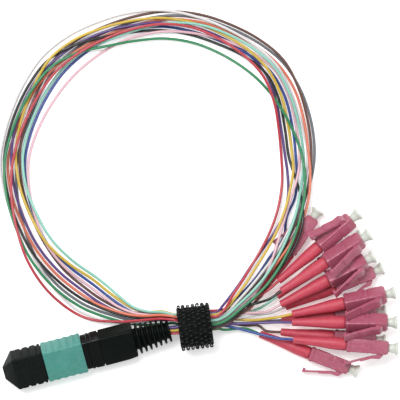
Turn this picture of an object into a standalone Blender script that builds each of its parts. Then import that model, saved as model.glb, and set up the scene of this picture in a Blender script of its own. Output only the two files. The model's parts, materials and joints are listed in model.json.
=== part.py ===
"""Fibre optic fan-out cable: one flat multi-fibre plug, twelve thin coloured fibres in a loop,
a hook-and-loop strap round the bundle and twelve single connectors with boots and dust caps.

Lengths here are millimetres until they reach Blender, which gets metres. The cable lies on the
floor at z = 0. Plan positions are measured from the middle of the loop and fan together, and
PLAN_ORIGIN moves them to the bottom centre of the box round the connectors and the strap.
"""

import math

import bmesh
import bpy
import numpy as np
from mathutils import Matrix, Vector

MM = 0.001
CLEARANCE = 0.3
PLAN_ORIGIN = (0.161, -32.188)

# Fibres: tight-buffered, bare, one colour each
FIBRE_DIAMETER = 0.9
FIBRE_PITCH = 1.22
FIBRE_TAIL_PITCH = 1.06
FIBRE_SETTLE_PITCH = 1.2
FIBRE_INSERT = 1.2

FIBRE_COLOURS = {
    "blue": (0.05, 0.10, 0.42),
    "orange": (0.86, 0.26, 0.12),
    "green": (0.06, 0.42, 0.20),
    "brown": (0.17, 0.09, 0.06),
    "slate": (0.26, 0.27, 0.30),
    "white": (0.86, 0.86, 0.84),
    "red": (0.72, 0.08, 0.12),
    "black": (0.03, 0.04, 0.04),
    "yellow": (0.82, 0.62, 0.16),
    "violet": (0.25, 0.15, 0.46),
    "rose": (0.88, 0.60, 0.66),
    "aqua": (0.36, 0.76, 0.66),
}

# Loop of fibre: middle, radius and the stations where the order of the fibres is set
LOOP_CENTRE = (-13.8, 10.5)
LOOP_RADIUS = 48.4
LOOP_STATIONS = (-46.0, -20.0, 5.0, 40.0, 75.0, 100.0, 135.0, 178.0, 215.0, 240.0)
STATION_HEIGHTS = (8.2, 7.4, 3.4, 1.4, 1.4, 1.4, 1.4, 1.4, 1.4, 1.4)
# How far the lanes spread at each station, and how far they all move outwards there
LANE_SHARES = (1.0, 0.9, 0.8, 0.55, 0.6, 0.45, 0.6, 0.8, 0.8, 1.0)
LANE_SHIFTS = (0.0, 0.0, -0.7, 1.4, 0.0, -1.4, -1.0, -0.5, 0.0, 0.0)
# Points of a fibre's line between one guide and the next: boot and strap, loop, strap, fan
GUIDE_STEPS = (1,) * 6 + (4, 3, 3, 3, 3, 2, 3, 4, 3, 2, 3, 3) + (1,) * 6 + (5, 1)
HELD_START = 7
THROUGH_STRAP = (42, 49)
LEAD_IN = 5.0
STACK_PITCH = 1.05

# Settling of the fibres: rounds, fall per round, rounds between searches for neighbours, smoothing
SETTLE_ROUNDS = 520
SETTLE_FALL = 0.06
SETTLE_RENEW = 12
SETTLE_SMOOTH = 0.22
OWN_SEGMENTS = 8

# Small connectors: size of the housing, its latch, boot and cap
HOUSING_WIDTH = 4.5
HOUSING_LENGTH = 13.8
HOUSING_CHAMFER = 0.7
COLLAR_WIDTH = 4.9
COLLAR_LENGTH = 1.3
FERRULE_BORE = 3.2
FERRULE_BORE_DEPTH = 5.0
LATCH_ROOT_START = 1.6
LATCH_ROOT_END = 5.0
LATCH_ROOT_HEIGHT = 1.6
LATCH_THICKNESS = 0.9
LATCH_WIDTH = 3.0
LATCH_OVERHANG = 0.4
LATCH_END = HOUSING_LENGTH + LATCH_OVERHANG
LATCH_LIFT = 3.2
LATCH_LIFT_PRESSED = 0.5
LATCH_HOOK = 0.7
BOOT_LENGTH = 17.3
BOOT_WIDE = 4.3
BOOT_NARROW = 2.4
BOOT_BORE = 1.6
BOOT_BORE_DEPTH = 1.6
CAP_STEM = 2.6
CAP_STEM_LENGTH = 4.0
CAP_OUT = 3.2
CAP_FLANGE = 4.4
CAP_BORE = 1.6
CAP_END_WALL = 1.6

# Strap: a hook-and-loop tape wound round the bundle, hooks outwards
STRAP_MIDDLE = (-1.6, -41.6)
STRAP_HEADING = 7.5
STRAP_WIDTH = 10.9
STRAP_BORE = 7.8
STRAP_BORE_SHIFT = 1.35
STRAP_BORE_DROP = 1.2
STRAP_TWIST = 90.0
STRAP_SHARES = (0.0, 0.25, 0.5, 0.75, 1.0, 1.2)
STRAP_OUTER_START = 6.0
STRAP_LAYER = 0.7
HOOK_HEIGHT = 1.0
HOOK_ROWS = 7
HOOK_ROW_WIDTH = 0.8
HOOK_COUNT = 18
BUNDLE_ROWS = (5, 4, 3)
BESIDE_BOOT = (6.8, -3.2, -11.0)

# Flat plug: rolled on its axis, lying on one long edge
PLUG_TAIL = (-9.9, -42.7)
PLUG_HEADING = 194.5
PLUG_ROLL = 30.0
PLUG_WIDTH = 11.8
PLUG_HEIGHT = 7.2
PLUG_CORNER = 0.7
SLEEVE_LENGTH = 13.2
SLEEVE_WALL = 1.1
SLEEVE_TRAVEL = 1.5
NOSE_LENGTH = 8.0
NOSE_WIDTH = 7.6
NOSE_HEIGHT = 4.6
REAR_LENGTH = 5.8
REAR_WIDTH = 10.9
REAR_HEIGHT = 6.3
FERRULE_WIDTH = 6.4
FERRULE_HEIGHT = 2.5
FERRULE_LENGTH = 7.0
FERRULE_PROUD = 1.2
PLUG_CAP_LENGTH = 13.5
PLUG_CAP_SLOPE = 3.7
PLUG_CAP_RIDGE = 4.6
BOOT_BODY_LENGTH = 11.1
BOOT_BODY_WIDTH = 10.9
BOOT_BODY_HEIGHT = 6.6
BOOT_RIB_LENGTH = 12.0
BOOT_RIBS = 7
BOOT_RIB_START = (10.2, 7.6)
BOOT_RIB_END = (7.0, 6.9)
BOOT_RIB_DEPTH = 0.9
BOOT_TAIL_BORE = 6.1
BOOT_TAIL_BORE_DEPTH = 0.9

# Each small connector: fibre, front (x, y), heading, height of its axis at front and tail,
# roll of the latch from straight up towards the right of its heading, latch pressed or free
CONNECTORS = (
    ("A", "orange", (37.2, -5.9), 55.0, 2.47, 2.47, -90.0, False),
    ("B", "red", (49.7, -6.3), 40.2, 7.9, 6.5, -50.0, False),
    ("C", "black", (53.0, -12.8), 32.9, 9.9, 8.5, 45.0, False),
    ("D", "rose", (54.3, -19.8), 27.4, 7.5, 6.6, 61.6, False),
    ("E", "white", (57.2, -23.5), 21.8, 2.47, 2.47, 90.0, False),
    ("F", "yellow", (60.9, -30.9), 12.0, 8.0, 6.5, 44.5, False),
    ("G", "violet", (61.5, -40.1), 0.0, 8.8, 6.8, 53.7, False),
    ("H", "blue", (61.8, -48.5), -5.0, 8.2, 6.7, 92.0, False),
    ("I", "green", (49.0, -55.3), -21.0, 2.47, 2.47, 90.0, False),
    ("J", "aqua", (50.7, -13.2), 36.0, 2.47, 2.47, 90.0, True),
    ("K", "slate", (58.0, -36.6), 5.2, 2.47, 2.47, 90.0, True),
    ("L", "brown", (57.8, -46.1), -5.0, 2.47, 2.47, 90.0, True),
)

# From the floor up, the order in which the fibres lie on each other in the loop
STACKING = (
    "slate", "brown", "orange", "violet", "blue", "white",
    "black", "rose", "yellow", "aqua", "green", "red",
)

# Rows of the second bundle in the strap from the floor up, each from the loop's side outwards
FAN_ROWS = (
    ("aqua", "yellow", "brown"),
    ("orange", "rose", "slate", "blue"),
    ("red", "black", "white", "violet", "green"),
)

# Distance of each fibre outside the loop's radius at each station
LANES = {
    "red": (-2.2, -4.6, -4.3, -2.0, 1.2, 1.3, -0.2, -0.2, 3.3, 4.5),
    "yellow": (-0.8, -1.5, -1.9, -3.6, -1.2, 0.6, 1.0, -1.3, -2.9, -3.1),
    "white": (0.3, 0.0, 1.0, 2.2, 3.1, 8.5, 7.3, 2.6, -0.5, 3.6),
    "blue": (1.3, 0.6, -0.6, 0.6, -2.6, -2.6, -3.8, -2.6, -2.2, -2.0),
    "orange": (2.4, 3.1, 2.2, 0.9, 0.3, -0.3, -1.5, 1.0, -1.0, 0.3),
    "aqua": (3.7, 1.9, 0.4, -0.8, -0.4, -1.5, -2.6, -1.5, -4.9, -4.2),
    "black": (5.0, 4.3, -2.9, -1.2, -3.8, -3.7, 2.2, 2.0, 1.5, 1.4),
    "green": (6.4, 3.8, 0.0, -11.6, -9.0, -7.3, 3.3, 2.9, 2.5, 2.5),
    "brown": (5.6, 2.9, 1.6, 3.4, 2.1, 2.3, 0.0, -3.7, -4.0, -0.8),
    "violet": (-1.6, -0.9, -3.2, -2.6, -1.9, -0.9, 0.6, -1.9, -1.7, -0.6),
    "slate": (1.9, 1.3, 2.8, 3.0, 1.6, 0.3, -0.9, -3.0, -0.4, 0.9),
    "rose": (4.4, -2.9, 0.0, 1.7, -3.2, -5.4, -10.0, -5.5, -3.3, -1.4),
}


def drop_objects():
    """Empty the scene."""
    for obj in list(bpy.data.objects):
        bpy.data.objects.remove(obj, do_unlink=True)


def collection(name):
    """A collection of this name in the scene."""
    made = bpy.data.collections.new(name)
    bpy.context.scene.collection.children.link(made)
    return made


def material(name, colour, roughness, metallic=0.0):
    """A plain surface finish."""
    made = bpy.data.materials.new(name)
    made.use_nodes = True
    shader = made.node_tree.nodes["Principled BSDF"]
    shader.inputs["Base Color"].default_value = (*colour, 1.0)
    shader.inputs["Roughness"].default_value = roughness
    shader.inputs["Metallic"].default_value = metallic
    return made


def plan(x, y, z=0.0):
    """A point of the plan in metres from the part's origin."""
    return Vector((x - PLAN_ORIGIN[0], y - PLAN_ORIGIN[1], z)) * MM


def axis_frame(point, heading, pitch, roll):
    """Local +Z runs along the heading, +Y is straight up rolled towards the right of it."""
    forward = Vector((
        math.cos(math.radians(heading)) * math.cos(math.radians(pitch)),
        math.sin(math.radians(heading)) * math.cos(math.radians(pitch)),
        math.sin(math.radians(pitch)),
    ))
    right = forward.cross(Vector((0.0, 0.0, 1.0))).normalized()
    up = right.cross(forward)
    turn = math.radians(roll)
    local_y = up * math.cos(turn) + right * math.sin(turn)
    local_x = local_y.cross(forward)
    frame = Matrix((local_x, local_y, forward)).transposed().to_4x4()
    return Matrix.Translation(point) @ frame


def mesh_from(name, edit):
    """A mesh made by bmesh edits in millimetres."""
    mesh = bpy.data.meshes.new(name)
    shape = bmesh.new()
    edit(shape)
    bmesh.ops.recalc_face_normals(shape, faces=shape.faces)
    bmesh.ops.scale(shape, vec=(MM, MM, MM), verts=shape.verts)
    shape.to_mesh(mesh)
    shape.free()
    return mesh


def box(shape, low, high):
    """A box between two corners."""
    size = [b - a for a, b in zip(low, high)]
    middle = [(a + b) / 2 for a, b in zip(low, high)]
    place = Matrix.Translation(middle) @ Matrix.Diagonal((*size, 1.0))
    return bmesh.ops.create_cube(shape, size=1.0, matrix=place)["verts"]


def loft(shape, rings, closed_ends=True):
    """Skin a row of rings with equal counts; the ends are capped or joined to each other."""
    rows = [[shape.verts.new(point) for point in ring] for ring in rings]
    pairs = list(zip(rows, rows[1:]))
    if not closed_ends:
        pairs.append((rows[-1], rows[0]))
    for below, above in pairs:
        for i in range(len(below)):
            j = (i + 1) % len(below)
            shape.faces.new((below[i], below[j], above[j], above[i]))
    if closed_ends:
        shape.faces.new(rows[0])
        shape.faces.new(rows[-1])
    return rows


def rounded_ring(width, height, corner, z, steps=3):
    """A rounded rectangle round the axis."""
    corner = min(corner, width / 2 - 0.01, height / 2 - 0.01)
    points = []
    for quarter, (sx, sy) in enumerate(((1, 1), (-1, 1), (-1, -1), (1, -1))):
        for step in range(steps + 1):
            turn = math.radians(90 * quarter + 90 * step / steps)
            x = sx * (width / 2 - corner) + corner * math.cos(turn)
            y = sy * (height / 2 - corner) + corner * math.sin(turn)
            points.append((x, y, z))
    return points


def add_screw(obj, steps):
    """Turn a profile round the local Z axis."""
    screw = obj.modifiers.new("Turn", "SCREW")
    screw.axis = "Z"
    screw.steps = steps
    screw.render_steps = steps
    screw.use_merge_vertices = True
    screw.merge_threshold = 0.00001
    screw.use_smooth_shade = True
    return screw


def turned_mesh(name, profile, steps):
    """A turned solid: the profile runs down its outer side."""
    mesh = bpy.data.meshes.new(name + "_profile")
    points = [(x * MM, 0.0, z * MM) for x, z in profile]
    edges = [(i, i + 1) for i in range(len(points) - 1)]
    mesh.from_pydata(points, edges, [])
    obj = bpy.data.objects.new(name, mesh)
    add_screw(obj, steps)
    return obj


def baked(obj):
    """The evaluated mesh of an object, which is then removed."""
    bpy.context.scene.collection.objects.link(obj)
    bpy.context.view_layer.update()
    graph = bpy.context.evaluated_depsgraph_get()
    mesh = bpy.data.meshes.new_from_object(obj.evaluated_get(graph))
    bpy.data.objects.remove(obj, do_unlink=True)
    return mesh


def boolean(obj, cutter_mesh, operation):
    """Join or cut an object with a mesh, whose own object goes in the cutters' collection."""
    cutter = bpy.data.objects.new(cutter_mesh.name, cutter_mesh)
    cutter.hide_render = True
    cutter.display_type = "WIRE"
    CUTTERS.objects.link(cutter)
    step = obj.modifiers.new(operation.title(), "BOOLEAN")
    step.operation = operation
    step.object = cutter


def place(name, mesh, frame, finish):
    """An object of the part at its place."""
    obj = bpy.data.objects.new(name, mesh)
    obj.matrix_world = frame
    obj.data.materials.clear()
    obj.data.materials.append(finish)
    PARTS.objects.link(obj)
    return obj


def latch_outline(lift):
    """Side view of the latch as (distance behind the front, height above the axis)."""
    top = HOUSING_WIDTH / 2
    root = top + LATCH_ROOT_HEIGHT
    arm = LATCH_END - LATCH_ROOT_END
    shoulder = LATCH_ROOT_END + 0.42 * arm
    rise = lift * 0.42
    end = root + lift
    return (
        (LATCH_ROOT_START, top - 0.4),
        (LATCH_ROOT_START, top + 0.35),
        (LATCH_ROOT_START + 1.1, root),
        (LATCH_ROOT_END, root),
        (shoulder, root + rise),
        (shoulder, root + rise - 0.35),
        (LATCH_END, end - 0.35),
        (LATCH_END, end - 0.35 - LATCH_THICKNESS - LATCH_HOOK),
        (LATCH_END - 0.8, end - 0.35 - LATCH_THICKNESS - LATCH_HOOK),
        (LATCH_END - 0.9, end - 0.45 - LATCH_THICKNESS),
        (LATCH_ROOT_END, root - LATCH_THICKNESS - 0.1),
        (LATCH_ROOT_END - 1.2, top + 0.45),
        (LATCH_ROOT_END - 1.3, top - 0.4),
    )


def housing_mesh(name, lift):
    """Square connector housing with its latch and the hole for the ferrule, front at z = 0."""
    half = HOUSING_WIDTH / 2
    collar = COLLAR_WIDTH / 2

    def body(shape):
        rings = []
        slope = HOUSING_CHAMFER
        corner = 0.35
        inner = HOUSING_WIDTH - 2 * slope * 0.6
        rings.append(rounded_ring(inner, inner, corner, 0.0, 1))
        rings.append(rounded_ring(2 * half, 2 * half, corner, -slope, 1))
        rings.append(rounded_ring(2 * half, 2 * half, corner, COLLAR_LENGTH - HOUSING_LENGTH, 1))
        rings.append(rounded_ring(2 * collar, 2 * collar, 0.8, COLLAR_LENGTH - HOUSING_LENGTH - 0.01, 1))
        rings.append(rounded_ring(2 * collar, 2 * collar, 0.8, 0.3 - HOUSING_LENGTH, 1))
        rings.append(rounded_ring(2 * collar - 0.5, 2 * collar - 0.5, 0.8, -HOUSING_LENGTH, 1))
        loft(shape, rings)

    def latch(shape):
        outline = latch_outline(lift)
        sides = []
        for side in (-1, 1):
            sides.append([shape.verts.new((side * LATCH_WIDTH / 2, y, -x)) for x, y in outline])
            shape.faces.new(sides[-1])
        for i in range(len(outline)):
            j = (i + 1) % len(outline)
            shape.faces.new((sides[0][i], sides[0][j], sides[1][j], sides[1][i]))

    obj = bpy.data.objects.new(name, mesh_from(name, body))
    boolean(obj, mesh_from(name + "_latch", latch), "UNION")
    depth = FERRULE_BORE_DEPTH

    def bore(shape):
        bmesh.ops.create_cone(
            shape, cap_ends=True, segments=12, radius1=FERRULE_BORE / 2, radius2=FERRULE_BORE / 2,
            depth=depth + 1.0, matrix=Matrix.Translation((0.0, 0.0, 0.5 - depth / 2)),
        )

    boolean(obj, mesh_from(name + "_bore", bore), "DIFFERENCE")
    return baked(obj)


def boot_mesh():
    """Tapered boot behind the housing with a hole for the fibre, wide end at z = 0."""
    wide = BOOT_WIDE / 2
    narrow = BOOT_NARROW / 2
    profile = (
        (0.0, 0.0),
        (wide - 0.15, 0.0),
        (wide, -0.3),
        (wide * 0.98, -0.3 * BOOT_LENGTH),
        (narrow + 0.2, -0.82 * BOOT_LENGTH),
        (narrow, -BOOT_LENGTH),
        (BOOT_BORE / 2, -BOOT_LENGTH),
        (BOOT_BORE / 2, BOOT_BORE_DEPTH - BOOT_LENGTH),
        (0.0, BOOT_BORE_DEPTH - BOOT_LENGTH),
    )
    return baked(turned_mesh("boot", profile, 14))


def cap_mesh():
    """Small dust cap: a stem in the housing and a flared collar outside, front face at z = 0."""
    stem = CAP_STEM / 2
    flange = CAP_FLANGE / 2
    profile = (
        (0.0, CAP_OUT - 0.3),
        (flange - 0.5, CAP_OUT),
        (flange, CAP_OUT - 0.25),
        (stem + 0.15, CAP_OUT * 0.45),
        (stem, CLEARANCE),
        (stem, -CAP_STEM_LENGTH),
        (CAP_BORE / 2, -CAP_STEM_LENGTH),
        (CAP_BORE / 2, CAP_OUT - CAP_END_WALL),
        (0.0, CAP_OUT - CAP_END_WALL),
    )
    return baked(turned_mesh("cap", profile, 12))


def connector_frame(row):
    """Front of a connector's axis as a frame, from its row."""
    front, heading, high, low, roll = row[2], row[3], row[4], row[5], row[6]
    reach = HOUSING_LENGTH + CLEARANCE + BOOT_LENGTH
    pitch = math.degrees(math.asin((high - low) / reach))
    return axis_frame(plan(front[0], front[1], high), heading, pitch, roll)


def shifted(frame, distance):
    """The same frame moved along its own Z by millimetres."""
    return frame @ Matrix.Translation((0.0, 0.0, distance * MM))


def make_connectors():
    """Twelve small connectors: housing with latch, boot and dust cap."""
    meshes = {
        False: housing_mesh("housing_free", LATCH_LIFT),
        True: housing_mesh("housing_pressed", LATCH_LIFT_PRESSED),
    }
    boot = boot_mesh()
    cap = cap_mesh()
    magenta = material("housing_magenta", (0.45, 0.10, 0.19), 0.42)
    pink_red = material("boot_pink_red", (0.66, 0.07, 0.12), 0.5)
    milky = material("cap_milky", (0.80, 0.83, 0.78), 0.35)
    for row in CONNECTORS:
        frame = connector_frame(row)
        place(f"lc_housing_{row[0]}", meshes[row[7]], frame, magenta)
        place(f"lc_boot_{row[0]}", boot, shifted(frame, -HOUSING_LENGTH - CLEARANCE), pink_red)
        place(f"lc_cap_{row[0]}", cap, frame, milky)


def plug_frame():
    """The flat plug's frame at its boot's tail, +Z towards its cap, +Y out of its wide face."""
    half = PLUG_WIDTH / 2 * math.sin(math.radians(PLUG_ROLL))
    height = half + PLUG_HEIGHT / 2 * math.cos(math.radians(PLUG_ROLL))
    return axis_frame(plan(*PLUG_TAIL, height), PLUG_HEADING, 0.0, -PLUG_ROLL)


def make_plug():
    """The flat multi-fibre plug: boot, body, sliding sleeve, ferrule and dust cap."""
    frame = plug_frame()
    black = material("plug_black", (0.018, 0.020, 0.022), 0.4)
    rubber = material("boot_black", (0.020, 0.022, 0.022), 0.55)
    aqua = material("sleeve_aqua", (0.22, 0.56, 0.50), 0.4)
    ceramic = material("ferrule_grey", (0.10, 0.10, 0.11), 0.4)

    def boot(shape):
        rings = [
            rounded_ring(BOOT_TAIL_BORE, BOOT_TAIL_BORE, BOOT_TAIL_BORE / 2, BOOT_TAIL_BORE_DEPTH),
            rounded_ring(BOOT_TAIL_BORE, BOOT_TAIL_BORE, BOOT_TAIL_BORE / 2, 0.0),
        ]
        pitch = BOOT_RIB_LENGTH / BOOT_RIBS
        for rib in range(BOOT_RIBS):
            share = (rib + 0.5) / BOOT_RIBS
            wide = BOOT_RIB_END[0] + (BOOT_RIB_START[0] - BOOT_RIB_END[0]) * share
            high = BOOT_RIB_END[1] + (BOOT_RIB_START[1] - BOOT_RIB_END[1]) * share
            near = rib * pitch
            groove = 2 * BOOT_RIB_DEPTH
            rings.append(rounded_ring(wide, high, 3.2, near))
            rings.append(rounded_ring(wide, high, 3.2, near + 0.5 * pitch))
            rings.append(rounded_ring(wide - groove, high - groove, 3.2, near + 0.55 * pitch))
            rings.append(rounded_ring(wide - groove, high - groove, 3.2, near + pitch - 0.05))
        end = BOOT_RIB_LENGTH + BOOT_BODY_LENGTH
        rings.append(rounded_ring(BOOT_BODY_WIDTH, BOOT_BODY_HEIGHT, 1.6, BOOT_RIB_LENGTH))
        rings.append(rounded_ring(BOOT_BODY_WIDTH, BOOT_BODY_HEIGHT, 1.2, end))
        loft(shape, rings)

    place("mpo_boot", mesh_from("boot_shape", boot), frame, rubber)
    rear_start = BOOT_RIB_LENGTH + BOOT_BODY_LENGTH + CLEARANCE
    sleeve_start = rear_start + REAR_LENGTH
    sleeve_end = sleeve_start + SLEEVE_LENGTH
    bore_width = PLUG_WIDTH - 2 * SLEEVE_WALL
    bore_height = PLUG_HEIGHT - 2 * SLEEVE_WALL
    cap_start = sleeve_end + CLEARANCE
    nose_end = cap_start + NOSE_LENGTH

    def body(shape):
        stem = (bore_width - 2 * CLEARANCE, bore_height - 2 * CLEARANCE)
        slot_end = nose_end - FERRULE_LENGTH + FERRULE_PROUD - CLEARANCE
        slot = (FERRULE_WIDTH + 2 * CLEARANCE, FERRULE_HEIGHT + 2 * CLEARANCE)
        rings = [
            rounded_ring(REAR_WIDTH, REAR_HEIGHT, PLUG_CORNER, rear_start),
            rounded_ring(REAR_WIDTH, REAR_HEIGHT, PLUG_CORNER, sleeve_start - SLEEVE_TRAVEL - CLEARANCE),
            rounded_ring(*stem, PLUG_CORNER, sleeve_start - SLEEVE_TRAVEL - CLEARANCE + 0.01),
            rounded_ring(*stem, PLUG_CORNER, sleeve_end),
            rounded_ring(NOSE_WIDTH, NOSE_HEIGHT, PLUG_CORNER, sleeve_end + 0.01),
            rounded_ring(NOSE_WIDTH, NOSE_HEIGHT, PLUG_CORNER, nose_end),
            rounded_ring(*slot, 0.3, nose_end),
            rounded_ring(*slot, 0.3, slot_end),
        ]
        loft(shape, rings)

    place("mpo_plug_body", mesh_from("plug_shape", body), frame, black)

    def sleeve(shape):
        rings = [
            rounded_ring(bore_width, bore_height, 0.5, sleeve_end),
            rounded_ring(PLUG_WIDTH - 0.4, PLUG_HEIGHT - 0.4, PLUG_CORNER, sleeve_end),
            rounded_ring(PLUG_WIDTH, PLUG_HEIGHT, PLUG_CORNER, sleeve_end - 0.3),
            rounded_ring(PLUG_WIDTH, PLUG_HEIGHT, PLUG_CORNER, sleeve_start + 0.3),
            rounded_ring(PLUG_WIDTH - 0.4, PLUG_HEIGHT - 0.4, PLUG_CORNER, sleeve_start),
            rounded_ring(bore_width, bore_height, 0.5, sleeve_start),
        ]
        loft(shape, rings, closed_ends=False)

    place("mpo_coupling_sleeve", mesh_from("sleeve_shape", sleeve), frame, aqua)

    def ferrule(shape):
        start = nose_end - FERRULE_LENGTH + FERRULE_PROUD
        box(
            shape, (-FERRULE_WIDTH / 2, -FERRULE_HEIGHT / 2, start),
            (FERRULE_WIDTH / 2, FERRULE_HEIGHT / 2, nose_end + FERRULE_PROUD),
        )

    place("mpo_ferrule", mesh_from("ferrule_shape", ferrule), frame, ceramic)

    def cap(shape):
        shoulder = cap_start + PLUG_CAP_LENGTH - PLUG_CAP_SLOPE
        inner = (NOSE_WIDTH + 2 * CLEARANCE, NOSE_HEIGHT + 2 * CLEARANCE)
        rings = [
            rounded_ring(*inner, 0.5, nose_end + FERRULE_PROUD + 2 * CLEARANCE),
            rounded_ring(*inner, 0.5, cap_start),
            rounded_ring(PLUG_WIDTH - 0.4, PLUG_HEIGHT - 0.4, PLUG_CORNER, cap_start),
            rounded_ring(PLUG_WIDTH - 0.2, PLUG_HEIGHT - 0.2, PLUG_CORNER, cap_start + 0.3),
            rounded_ring(PLUG_WIDTH - 0.2, PLUG_HEIGHT - 0.2, PLUG_CORNER, shoulder),
            rounded_ring(PLUG_CAP_RIDGE, 0.8, 0.3, cap_start + PLUG_CAP_LENGTH),
        ]
        loft(shape, rings)

    place("mpo_dust_cap", mesh_from("cap_shape", cap), frame, black)


def strap_frame():
    """The strap's middle, +Z along the bundle towards the fan, +Y up."""
    radius = STRAP_OUTER_START + STRAP_LAYER + HOOK_HEIGHT
    return axis_frame(plan(*STRAP_MIDDLE, radius), STRAP_HEADING, 0.0, 0.0)


def make_strap():
    """The wound tape with its rows of hooks."""
    around = 2 * HOOK_COUNT
    gap = (STRAP_WIDTH - HOOK_ROWS * HOOK_ROW_WIDTH) / (HOOK_ROWS - 1)

    def outer(turn):
        return STRAP_OUTER_START + STRAP_LAYER * turn

    def tape(shape):
        levels = []
        for row in range(HOOK_ROWS):
            start = -STRAP_WIDTH / 2 + row * (HOOK_ROW_WIDTH + gap)
            levels += [start, start + HOOK_ROW_WIDTH]
        turns = [i / around for i in range(around)]
        rings = []
        for z in levels:
            rings.append([
                (outer(t) * math.cos(2 * math.pi * t), outer(t) * math.sin(2 * math.pi * t), z)
                for t in turns
            ])
        for z in (levels[-1], levels[0]):
            rings.append([
                (
                    STRAP_BORE / 2 * math.cos(2 * math.pi * t) + STRAP_BORE_SHIFT,
                    STRAP_BORE / 2 * math.sin(2 * math.pi * t) - STRAP_BORE_DROP,
                    z,
                )
                for t in turns
            ])
        rows = loft(shape, rings, closed_ends=False)
        shape.normal_update()
        hooks = []
        for row in range(HOOK_ROWS):
            low, high = rows[2 * row], rows[2 * row + 1]
            for i in range(row % 2, around, 2):
                corners = {low[i], low[(i + 1) % around], high[i], high[(i + 1) % around]}
                hooks += [f for f in low[i].link_faces if set(f.verts) == corners]
        raised = bmesh.ops.extrude_discrete_faces(shape, faces=hooks)["faces"]
        for face in raised:
            middle = face.calc_center_median()
            away = Vector((middle.x, middle.y, 0.0)).normalized() * HOOK_HEIGHT
            bmesh.ops.translate(shape, vec=away, verts=face.verts)

    black = material("strap_black", (0.012, 0.014, 0.014), 0.75)
    place("strap", mesh_from("strap_shape", tape), strap_frame(), black)


def hex_slots(rows, pitch):
    """Places in a bundle's section, row by row from the bottom, as (across, up)."""
    slots = []
    middle = (len(rows) - 1) / 2
    for level, count in enumerate(rows):
        up = (level - middle) * pitch * math.sqrt(0.75)
        slots.append([((i - (count - 1) / 2) * pitch, up) for i in range(count)])
    return slots


def smooth_through(points, steps):
    """A smooth curve through points with so many steps between each two, by Catmull-Rom."""
    points = np.asarray(points, float)
    padded = np.vstack([2 * points[0] - points[1], points, 2 * points[-1] - points[-2]])
    knots = np.linalg.norm(np.diff(padded, axis=0), axis=1) ** 0.5
    knots = np.concatenate([[0.0], np.cumsum(knots)])

    def blend(first, second, low, high, at):
        return (high - at) / (high - low) * first + (at - low) / (high - low) * second

    line = []
    for k, count in enumerate(steps, start=1):
        at = np.linspace(knots[k], knots[k + 1], count, endpoint=False)[:, None]
        once = [
            blend(padded[k + i - 1], padded[k + i], knots[k + i - 1], knots[k + i], at)
            for i in range(3)
        ]
        twice = [blend(once[i], once[i + 1], knots[k + i - 1], knots[k + i + 1], at) for i in range(2)]
        line.append(blend(twice[0], twice[1], knots[k], knots[k + 1], at))
    return np.vstack(line + [points[-1:]])


def to_plan(frame, x, y, z):
    """A frame's local point in plan millimetres."""
    point = frame @ Vector((x * MM, y * MM, z * MM)) / MM
    return (point.x + PLAN_ORIGIN[0], point.y + PLAN_ORIGIN[1], point.z)


def slots_by_lane(rows, pitch, station):
    """A slot (inwards, up) for each fibre: rows fill in stacking order, inner lanes first."""
    slots = {}
    left = list(STACKING)
    for row in hex_slots(rows, pitch):
        chosen = sorted(left[:len(row)], key=lambda colour: LANES[colour][station])
        left = left[len(row):]
        for colour, (across, up) in zip(chosen, reversed(row)):
            slots[colour] = (across, up)
    return slots


def strap_passes(slots, side, shares):
    """Guide points of each fibre through the strap: the bundle turns a quarter on its way."""
    strap = strap_frame()
    lift = side * len(BUNDLE_ROWS) / 2 * FIBRE_PITCH * math.sqrt(0.75)
    half = STRAP_WIDTH / 2
    passes = {}
    for colour, (across, up) in slots.items():
        passes[colour] = []
        for share in shares:
            turn = math.radians(STRAP_TWIST * (1.0 - min(max(share, 0.0), 1.0)))
            north = across * math.cos(turn) - (up + lift) * math.sin(turn)
            height = across * math.sin(turn) + (up + lift) * math.cos(turn)
            z = (2.0 * share - 1.0) * half
            passes[colour].append(
                to_plan(strap, north + STRAP_BORE_SHIFT, height - STRAP_BORE_DROP, z))
    return passes


def fibre_guides():
    """For each fibre its guide points from the plug's boot to its connector's boot."""
    tail = axis_frame(plug_frame().translation, PLUG_HEADING - 180.0, 0.0, 0.0)
    tail_slots = slots_by_lane(BUNDLE_ROWS, FIBRE_TAIL_PITCH, 0)
    over = strap_passes(slots_by_lane(BUNDLE_ROWS, FIBRE_PITCH, 0), 1, STRAP_SHARES)
    fan_slots = {}
    for names, row in zip(FAN_ROWS, hex_slots([len(names) for names in FAN_ROWS], FIBRE_PITCH)):
        fan_slots.update(zip(names, reversed(row)))
    under = strap_passes(fan_slots, -1, (-0.12, *STRAP_SHARES))
    ends = {row[1]: connector_frame(row) for row in CONNECTORS}
    reach = HOUSING_LENGTH + CLEARANCE + BOOT_LENGTH
    guides = {}
    for rank, colour in enumerate(STACKING):
        across, up = tail_slots[colour]
        points = [to_plan(tail, -up, across, -BOOT_TAIL_BORE_DEPTH * 0.6)]
        points += over[colour]
        rows = zip(LOOP_STATIONS, STATION_HEIGHTS, LANE_SHARES, LANE_SHIFTS, LANES[colour])
        for angle, height, share, shift, lane in rows:
            radius = LOOP_RADIUS + shift + share * lane
            x = LOOP_CENTRE[0] + radius * math.cos(math.radians(angle))
            y = LOOP_CENTRE[1] + radius * math.sin(math.radians(angle))
            stacked = FIBRE_DIAMETER / 2 + rank * STACK_PITCH
            free = LOOP_STATIONS[2] < angle < LOOP_STATIONS[-1]
            points.append((x, y, stacked if free else height))
        across, up = fan_slots[colour]
        points.append(to_plan(tail, BESIDE_BOOT[0] - up, BESIDE_BOOT[1] + across, BESIDE_BOOT[2]))
        points += under[colour]
        points.append(to_plan(ends[colour], 0.0, 0.0, -reach - LEAD_IN))
        points.append(to_plan(ends[colour], 0.0, 0.0, FIBRE_INSERT - reach))
        guides[colour] = points
    return guides


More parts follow.
